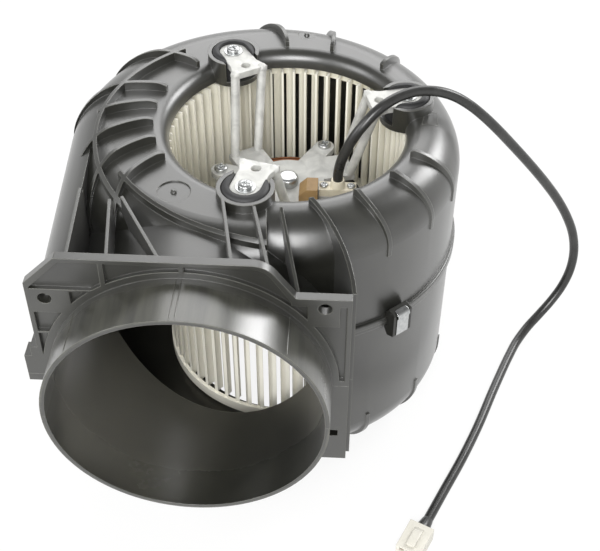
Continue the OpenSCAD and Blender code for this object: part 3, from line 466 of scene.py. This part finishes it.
def studio_white():
    """White studio floor: most of it is shown white to the camera and in mirror images, and the rest takes shadow."""
    material, tree = start_material("studio_white")
    # The white that is shown isn't used as a lamp
    material.cycles.emission_sampling = "NONE"
    path = put(tree, "LightPath")
    seen = put(tree, "Math", {0: path.outputs["Is Camera Ray"], 1: path.outputs["Is Glossy Ray"]},
               operation="MAXIMUM")
    share = put(tree, "Math", {0: seen.outputs["Value"], 1: FLOOR_SHOWN}, operation="MULTIPLY")
    lit = put(tree, "BsdfDiffuse", {"Color": linear("#f4f4f2")})
    shown = put(tree, "Emission", {"Color": linear("#ffffff"), "Strength": 1.0})
    both = put(tree, "MixShader", {0: share.outputs["Value"], 1: lit.outputs["BSDF"], 2: shown.outputs["Emission"]})
    put(tree, "OutputMaterial", {"Surface": both.outputs["Shader"]})
    return material


def finish_node(name, material):
    """Gives a CAD node its finish."""
    slots = frame["nodes"][name].data.materials
    slots.clear()
    slots.append(material)


def from_fan_axis(points):
    """Points in millimetres from the fan axis, in the frame's metres."""
    return np.asarray(points, float) * MM + np.array(FAN_AXIS)


def shell_height(x, y):
    """Height of the upper shell in millimetres: flat, then a quarter circle of the edge's radius down to the wall."""
    wall = np.where(y > 0, np.hypot(x - SCROLL_X, y) - SCROLL_R, np.hypot(x, y) - TONGUE_R)
    out = np.clip(wall + SHELL_EDGE, 0, SHELL_EDGE)
    return SHELL_TOP - SHELL_EDGE + np.sqrt(SHELL_EDGE**2 - out**2)


def unit(vectors):
    """Vectors of the same directions with a length of 1."""
    return vectors / np.linalg.norm(vectors, axis=-1, keepdims=True)


def toward(degrees):
    """Directions in a plane, given in degrees: their cosines and sines."""
    turn = np.radians(degrees)
    return np.stack([np.cos(turn), np.sin(turn)], axis=-1)


def circle_turns(sides):
    """Angles of even steps round a circle, in radians."""
    return np.linspace(0, 2 * math.pi, sides, endpoint=False)


def spline_points(knots, steps):
    """Smooth curve through the knots: cubic between each pair, with the slope at a knot set by its two neighbours."""
    p = np.vstack([knots[:1], knots, knots[-1:]])
    a, b, c, d = p[:-3, None], p[1:-2, None], p[2:-1, None], p[3:, None]
    t = np.linspace(0, 1, steps, endpoint=False)[None, :, None]
    curve = 0.5 * (2 * b + (c - a) * t + (2 * a - 5 * b + 4 * c - d) * t**2 + (3 * b - a - 3 * c + d) * t**3)
    return np.vstack([curve.reshape(-1, 3), knots[-1:]])


def swept_tube(path, radius, sides):
    """Points of a round tube along a path: at each point, a circle across the path's direction."""
    along = unit(np.gradient(path, axis=0))
    side = unit(np.cross(along, CABLE_ACROSS))
    up = np.cross(side, along)
    turn = circle_turns(sides)
    circle = np.cos(turn)[None, :, None] * side[:, None] + np.sin(turn)[None, :, None] * up[:, None]
    return path[:, None] + radius * circle


def swept_bar(path, up, width, rise, sink, blunt, sides=16):
    """Rings of a low bar along a path: each is an oval that rises over the surface and sinks below it.

    The oval's half width and height are powers of cosine and sine, so that a small power makes it blunt. The bar
    tapers to its ends by a high power of the place along it.
    """
    along = unit(np.gradient(path, axis=0))
    up = np.broadcast_to(up, path.shape)
    side = unit(np.cross(along, up))
    turn = circle_turns(sides)
    across = np.sign(np.cos(turn)) * np.abs(np.cos(turn)) ** blunt * width / 2
    high = np.sign(np.sin(turn)) * np.abs(np.sin(turn)) ** blunt * np.where(np.sin(turn) > 0, rise, sink)
    place = np.linspace(-1, 1, len(path))
    taper = TAPER_END + (1 - TAPER_END) * np.sqrt(np.clip(1 - np.abs(place) ** TAPER_POWER, 0, 1))
    ring = across[None, :, None] * side[:, None] + high[None, :, None] * up[:, None]
    return path[:, None] + taper[:, None, None] * ring


def cross_screw(place, head_r, head_h, shank_r, shank_length, turn, columns=64):
    """Rings of a pan head screw, from the middle of its head to the shank's end, with a cross recess.

    The head's top is part of an oval over the radius. The recess is the larger of two smooth bars across each
    other, taken off that height. All lengths are in millimetres, and the head's underside is at the place.
    """
    top = np.linspace(HEAD_INMOST, 1, HEAD_RINGS) * head_r
    # Below the top: rim, underside, neck, and a shank that narrows over its last stretch
    r = np.concatenate([top, [head_r, head_r * HEAD_UNDER, shank_r, shank_r, shank_r * TIP_END]])
    crown = head_h * (HEAD_CROWN + (1 - HEAD_CROWN) * np.sqrt(1 - (top / head_r) ** 2))
    z = np.concatenate([crown, [head_h * HEAD_RIM, 0, 0, -shank_length * TIP_START, -shank_length]])
    angle = circle_turns(columns)
    x, y = r[:, None] * np.cos(angle), r[:, None] * np.sin(angle)
    soft, long, wide = RECESS_SOFT * head_r, RECESS_LONG * head_r, RECESS_WIDE * head_r
    bars = [np.clip((long - np.abs(a)) / soft, 0, 1) * np.clip((wide - np.abs(b)) / soft, 0, 1)
            for a, b in ((x, y), (y, x))]
    recess = np.maximum(*bars) * (np.arange(len(r)) < len(top))[:, None]
    z = z[:, None] - RECESS_DEEP * head_h * recess
    c, s = math.cos(turn), math.sin(turn)
    return from_fan_axis(np.stack([c * x - s * y, s * x + c * y, z], axis=-1) + np.asarray(place, float))


def grid_faces(rows, columns, start):
    """Quads of a grid of points whose columns close on themselves, with the number of its first point."""
    i, j = np.meshgrid(np.arange(rows - 1), np.arange(columns), indexing="ij")
    k = (j + 1) % columns
    quads = np.stack([i * columns + j, i * columns + k, (i + 1) * columns + k, (i + 1) * columns + j], axis=-1)
    return quads.reshape(-1, 4) + start


def closed_piece(name, grids, material, body):
    """One object from grids of points, each a row of rings. The first and the last ring of a grid are capped."""
    points, faces, start = [], [], 0
    for grid in grids:
        rows, columns = grid.shape[:2]
        faces += grid_faces(rows, columns, start).tolist()
        faces.append((np.arange(columns)[::-1] + start).tolist())
        faces.append((np.arange(columns) + start + (rows - 1) * columns).tolist())
        points.append(grid.reshape(-1, 3))
        start += rows * columns
    mesh = bpy.data.meshes.new(name)
    mesh.from_pydata(np.vstack(points).tolist(), [], faces)
    mesh.polygons.foreach_set("use_smooth", np.ones(len(mesh.polygons), bool))
    tidy = bmesh.new()
    tidy.from_mesh(mesh)
    bmesh.ops.recalc_face_normals(tidy, faces=tidy.faces)
    tidy.to_mesh(mesh)
    tidy.free()
    mesh.set_sharp_from_angle(angle=SHARP_ANGLE)
    mesh.materials.append(material)
    piece = bpy.data.objects.new(name, mesh)
    bpy.context.scene.collection.objects.link(piece)
    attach(piece, body)
    return piece


def make_camera():
    """Camera at the photograph's place and angle."""
    back = Vector((math.sin(CAMERA_AZIMUTH) * math.cos(CAMERA_ELEVATION),
                   -math.cos(CAMERA_AZIMUTH) * math.cos(CAMERA_ELEVATION), math.sin(CAMERA_ELEVATION)))
    level = (-back).cross(Vector(UP)).normalized()
    rise = level.cross(-back)
    right = math.cos(CAMERA_ROLL) * level + math.sin(CAMERA_ROLL) * rise
    up = math.cos(CAMERA_ROLL) * rise - math.sin(CAMERA_ROLL) * level
    data = bpy.data.cameras.new("photo_camera")
    data.sensor_width = SENSOR_MM
    data.lens = FOCAL_PX * SENSOR_MM / IMAGE_WIDTH_PX
    data.clip_start = CAMERA_NEAR
    data.clip_end = CAMERA_FAR
    camera = bpy.data.objects.new("photo_camera", data)
    camera.matrix_world = Matrix.Translation(CAMERA_PLACE) @ Matrix((right, up, back)).transposed().to_4x4()
    bpy.context.scene.collection.objects.link(camera)
    bpy.context.scene.camera = camera


def make_lamp(name, place, size, power):
    """Square soft lamp that faces the middle of the object."""
    data = bpy.data.lights.new(name, "AREA")
    data.size = size
    data.energy = power
    lamp = bpy.data.objects.new(name, data)
    target = (CAD_BOX[0] + CAD_BOX[1]) / 2
    lamp.location = place
    lamp.rotation_euler = (target - Vector(place)).to_track_quat("-Z", "Y").to_euler()
    bpy.context.scene.collection.objects.link(lamp)


def make_world(strength):
    """White surroundings: full white to the camera, white low down in mirror images, and weaker where they light."""
    world = bpy.data.worlds.new("studio")
    world.use_nodes = True
    world.cycles.sampling_method = "NONE"
    tree = world.node_tree
    tree.nodes.clear()
    path = put(tree, "LightPath")
    way = put(tree, "SeparateXYZ", {"Vector": put(tree, "TexCoord").outputs["Generated"]})
    mirrored = put(tree, "MapRange", {"Value": way.outputs["Z"],
                                      "From Min": MIRROR_HEIGHTS[0], "From Max": MIRROR_HEIGHTS[1],
                                      "To Min": MIRROR_LEVELS[0], "To Max": MIRROR_LEVELS[1]})
    level = put(tree, "Mix", {0: path.outputs["Is Glossy Ray"], 2: strength, 3: mirrored.outputs["Result"]})
    seen = put(tree, "Math", {0: level.outputs[0], 1: path.outputs["Is Camera Ray"]}, operation="MAXIMUM")
    clear = put(tree, "Math", {0: seen.outputs["Value"], 1: path.outputs["Is Transmission Ray"]},
                operation="MAXIMUM")
    sky = put(tree, "Background", {"Color": linear("#ffffff"), "Strength": clear.outputs["Value"]})
    put(tree, "OutputWorld", {"Surface": sky.outputs["Background"]})
    bpy.context.scene.world = world


def length_property(name, description, metres):
    """A length that a user can change."""
    return bpy.props.FloatProperty(
        name=name, description=description, default=metres, unit="LENGTH", subtype="DISTANCE")


def colour_property(name, description, code):
    """A colour that a user can change."""
    return bpy.props.FloatVectorProperty(
        name=name, description=description, subtype="COLOR", size=4, min=0.0, max=1.0, default=linear(code))


class HoodFanSizes(bpy.types.PropertyGroup):
    """Sizes and colours that a user would change."""

    cable_diameter: length_property("Cable diameter", "Outside diameter of the motor cable", 6 * MM)
    seam_width: length_property("Seam width", "Width of the mould's seams on the spigot", 0.7 * MM)
    seam_height: length_property("Seam height", "Height of the mould's seams over the spigot", 0.25 * MM)
    floor_reach: length_property("Floor reach", "Half the width of the studio floor", 6.0)
    sky_level: bpy.props.FloatProperty(
        name="Sky level", description="Strength of the light from the white surroundings", default=0.32)
    housing_colour: colour_property("Housing colour", "Colour of the moulded shells", "#24241f")
    fan_colour: colour_property("Fan colour", "Colour of the fan wheel", "#fcf8ea")
    metal_colour: colour_property("Metal colour", "Colour of the die-cast bracket", "#d6d6d2")
    cable_colour: colour_property("Cable colour", "Colour of the cable's sheath", "#2a2a29")


class HOODFAN_OT_stage(bpy.types.Operator):
    """Camera, floor, surroundings and soft lamps"""

    bl_idname = "hoodfan.stage"
    bl_label = "Stage"

    def execute(self, context):
        sizes = context.scene.hoodfan_sizes
        context.scene.view_settings.view_transform = "Standard"
        make_camera()
        make_world(sizes.sky_level)
        for name, (place, size, power) in LAMPS.items():
            make_lamp(name, place, size, power)
        reach = sizes.floor_reach
        corners = [(x * reach, y * reach, FLOOR_Z) for x, y in ((-1, -1), (1, -1), (1, 1), (-1, 1))]
        mesh = bpy.data.meshes.new("studio_floor")
        mesh.from_pydata(corners, [], [(0, 1, 2, 3)])
        mesh.materials.append(studio_white())
        floor = bpy.data.objects.new("studio_floor", mesh)
        context.scene.collection.objects.link(floor)
        return {"FINISHED"}


class HOODFAN_OT_cable(bpy.types.Operator):
    """Motor cable over the inlet lip and along the floor, with its connector, latch and boot"""

    bl_idname = "hoodfan.cable"
    bl_label = "Cable"

    def execute(self, context):
        sizes = context.scene.hoodfan_sizes
        diameter = sizes.cable_diameter
        vinyl = black_vinyl(sizes.cable_colour)
        nylon = pale_nylon("natural_nylon", dark="#c6c3b8", light="#d9d6cc")
        route = spline_points(from_fan_axis(CABLE_ROUTE), CABLE_STEPS)
        cable = closed_piece("cable", [swept_tube(route, diameter / 2, CABLE_SIDES)], vinyl, "housing")
        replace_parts(cable, "motor_cable")
        end = route[-1]
        away = unit(route[-1] - route[-2])
        # Boot behind the connector: circles across the cable's last stretch, wider towards the connector, each lifted
        # by what it is wider than the cable, so that it lies on the floor
        wide = BOOT_WIDE * diameter / 2
        turn = circle_turns(BOOT_SIDES)
        circle = np.cos(turn)[:, None] * np.cross(away, UP) + np.sin(turn)[:, None] * UP
        spine = end - BOOT_BACK[:, None] * MM * away + (wide - diameter / 2)[:, None] * UP
        boot_rings = spine[:, None] + wide[:, None, None] * circle
        boot = closed_piece("cable_boot", [boot_rings], vinyl, "housing")
        # Latch on the connector: a flat springy arm that rises from its back and hooks down at its mouth
        arm = end + LATCH_RUN[:, None] * MM * away
        arm[:, 2] = (LATCH_LIFT + PLUG_TOP) * MM + FLOOR_Z
        latch_rings = swept_bar(arm, UP, LATCH_WIDTH * MM, rise=LATCH_HALF * MM, sink=LATCH_HALF * MM, blunt=0.45)
        latch = closed_piece("plug_latch", [latch_rings], nylon, "housing")
        finish_node("cable_plug", nylon)
        finish_node("plug_contacts", sintered_bronze())
        return {"FINISHED"}


class HOODFAN_OT_housing(bpy.types.Operator):
    """Finish of the moulded shells and their clips, with the clips' springs and the marks that the mould left"""

    bl_idname = "hoodfan.housing"
    bl_label = "Housing"

    def execute(self, context):
        sizes = context.scene.hoodfan_sizes
        plastic = moulded_polypropylene(sizes.housing_colour)
        for name in ("upper_housing", "lower_housing"):
            finish_node(name, plastic)
        finish_node("housing_clips", black_acetal(sizes.housing_colour))
        # Each spring is a flat band along its line, with its face turned square to that line
        springs = []
        for centre, radius, degrees in CLIP_PLACES:
            out = np.array([*toward(degrees), 0.0])
            knots = (radius + SPRING_LINE[:, :1]) * out + SPRING_LINE[:, 1:] * UP
            line = spline_points(from_fan_axis(knots + np.array([centre, 0.0, 0.0])), SPRING_STEPS)
            face = unit(np.cross(np.gradient(line, axis=0), np.cross(UP, out)))
            springs.append(swept_bar(line, face, SPRING_WIDTH * MM, rise=SPRING_HALF * MM, sink=SPRING_HALF * MM,
                                     blunt=0.25))
        closed_piece("clip_springs", springs, plated_steel("spring_steel", smooth=0.08, dull=0.2), "housing")
        # Each seam is a thin bar along the spigot, between its mouth and its flange
        seams = []
        run = np.linspace(SEAM_GAP, SPIGOT_LENGTH - SEAM_GAP, MARK_POINTS)
        for degrees in SPIGOT_SEAMS:
            across, high = toward(degrees)
            way = np.array([across, 0.0, high])
            line = (SPIGOT_R * way + run[:, None] * np.array([0.0, 1.0, 0.0])) * MM
            seams.append(swept_bar(line, way, sizes.seam_width, rise=sizes.seam_height, sink=MARK_SINK * MM,
                                   blunt=1.0))
        closed_piece("spigot_seams", seams, plastic, "housing")
        # Each edge of the insert is a thin bar from corner to corner, at the shell's height
        edges = []
        corners = np.array(INSERT_CORNERS)
        for start, stop in zip(corners, np.roll(corners, -1, axis=0)):
            plan = start + np.linspace(0, 1, MARK_POINTS)[:, None] * (stop - start)
            line = from_fan_axis(np.column_stack([plan, shell_height(plan[:, 0], plan[:, 1])]))
            edges.append(swept_bar(line, UP, INSERT_WIDTH * MM, rise=INSERT_RISE * MM, sink=MARK_SINK * MM,
                                   blunt=1.0))
        closed_piece("insert_edge", edges, plastic, "housing")
        # Broken sprues: short tapered pegs of circles, with a top that rises and falls by a cosine of twice the angle
        turn = circle_turns(STUB_SIDES)
        stubs = []
        for x, y in GATES:
            high = STUB_HEIGHTS[:, None] + STUB_SLOPES[:, None] * np.cos(2 * turn + x) + SHELL_TOP - GATE_DEPTH
            rings = [x + STUB_RADII[:, None] * np.cos(turn), y + STUB_RADII[:, None] * np.sin(turn), high]
            stubs.append(from_fan_axis(np.stack(rings, axis=-1)))
        closed_piece("gate_stubs", stubs, plastic, "housing")
        return {"FINISHED"}


class HOODFAN_OT_mounts(bpy.types.Operator):
    """Finish of the rubber mounts and the plain steel parts, and the screws with their cross recesses"""

    bl_idname = "hoodfan.mounts"
    bl_label = "Mounts and screws"

    def execute(self, context):
        rubber = soft_rubber()
        for side in ("left", "front", "right"):
            finish_node(f"rubber_mount_{side}", rubber)
        steel = plated_steel("plated_steel", smooth=0.22, dull=0.4)
        for name in ("mount_washers", "motor_nuts", "motor_shaft", "shaft_clip"):
            finish_node(name, steel)
        places = {
            "mount_screws": MOUNT_R * toward(MOUNT_TURNS), "motor_bolts": BOLT_R * toward(BOLT_TURNS),
            "clamp_screws": CLAMP_SCREWS,
        }
        for node, (head_r, head_h, shank_r) in SCREW_SIZES.items():
            low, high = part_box(node)
            under = high.z / MM - head_h
            shank = under - low.z / MM
            screws = [cross_screw((x, y, under), head_r, head_h, shank_r, shank, SCREW_TURN + SCREW_STEP * i)
                      for i, (x, y) in enumerate(places[node])]
            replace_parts(closed_piece(f"{node}_cross", screws, steel, "housing"), node)
        return {"FINISHED"}


class HOODFAN_OT_motor(bpy.types.Operator):
    """Finish of the motor: bracket, stator, windings, bearings and rotor"""

    bl_idname = "hoodfan.motor"
    bl_label = "Motor"

    def execute(self, context):
        finishes = {
            die_cast_metal(context.scene.hoodfan_sizes.metal_colour): (
                "motor_bracket", "lower_end_shield", "rotor_cage"),
            plated_steel("drawn_steel", smooth=0.22, dull=0.4): ("bearing_cap",),
            stacked_lamination(): ("stator_core", "rotor_core"),
            enamelled_copper(): ("upper_winding", "lower_winding"),
            filled_resin("brown_resin", dark="#5a3a22", light="#8e6440"): ("upper_coil_former", "lower_coil_former"),
            filled_resin("tan_resin", dark="#84663f", light="#b0905f"): ("terminal_block",),
            sintered_bronze(): ("upper_bearing", "lower_bearing", "hub_bush"),
            pale_nylon("cream_nylon", dark="#d8cfb6", light="#ece5d2"): ("cable_clamp", "thrust_washers"),
        }
        for material, names in finishes.items():
            for name in names:
                finish_node(name, material)
        return {"FINISHED"}


class HOODFAN_OT_fan(bpy.types.Operator):
    """Finish of the fan wheel"""

    bl_idname = "hoodfan.fan"
    bl_label = "Fan"

    def execute(self, context):
        finish_node("fan_wheel", cream_polypropylene(context.scene.hoodfan_sizes.fan_colour))
        return {"FINISHED"}


PIECES = (
    HOODFAN_OT_stage, HOODFAN_OT_cable, HOODFAN_OT_housing, HOODFAN_OT_mounts, HOODFAN_OT_motor, HOODFAN_OT_fan,
)


class HOODFAN_PT_panel(bpy.types.Panel):
    """Lists the pieces in the order in which they are made"""

    bl_idname = "HOODFAN_PT_panel"
    bl_label = "Hood fan"
    bl_space_type = "VIEW_3D"
    bl_region_type = "UI"
    bl_category = "Hood fan"

    def draw(self, context):
        sizes = context.scene.hoodfan_sizes
        for name in sizes.bl_rna.properties.keys():
            if name not in ("rna_type", "name"):
                self.layout.prop(sizes, name)
        for piece in PIECES:
            self.layout.operator(piece.bl_idname)


CLASSES = (HoodFanSizes, *PIECES, HOODFAN_PT_panel)


def register():
    for item in CLASSES:
        bpy.utils.register_class(item)
    bpy.types.Scene.hoodfan_sizes = bpy.props.PointerProperty(type=HoodFanSizes)


def unregister():
    del bpy.types.Scene.hoodfan_sizes
    for item in reversed(CLASSES):
        bpy.utils.unregister_class(item)


def main():
    register()
    for piece in PIECES:
        group, action = piece.bl_idname.split(".")
        getattr(getattr(bpy.ops, group), action)()


if __name__ == "__main__":
    main()
